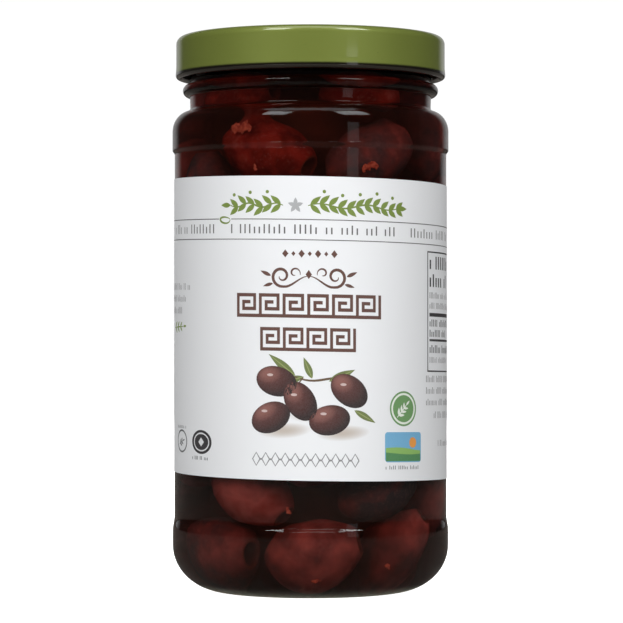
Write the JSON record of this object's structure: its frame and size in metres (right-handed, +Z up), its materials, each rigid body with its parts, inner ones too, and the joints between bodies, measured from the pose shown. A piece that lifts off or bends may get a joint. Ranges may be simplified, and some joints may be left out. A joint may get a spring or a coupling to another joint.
{
  "type": "jar of olives",
  "caption": "Round glass jar of pitted black olives in brine, shut with a twist-off metal lid, with a paper label wrapped round its body.",
  "frame": {"origin": "middle of the base, at the height of the surface that the jar stands on", "axes": "+Z up along the jar's axis, -Y out of the front of the label"},
  "size_m": [0.0684, 0.0684, 0.1371],
  "materials": {
    "glass_jar": "clear moulded glass",
    "lid": "olive-green lacquer, semi-gloss",
    "label": "white coated paper, matt",
    "olives": "wet olive skin, dark purple-brown"
  },
  "bodies": {
    "root": {"glass_jar": "glass_jar", "lid": "lid", "label": "label", "olives": "olives"}
  },
  "joints": []
}
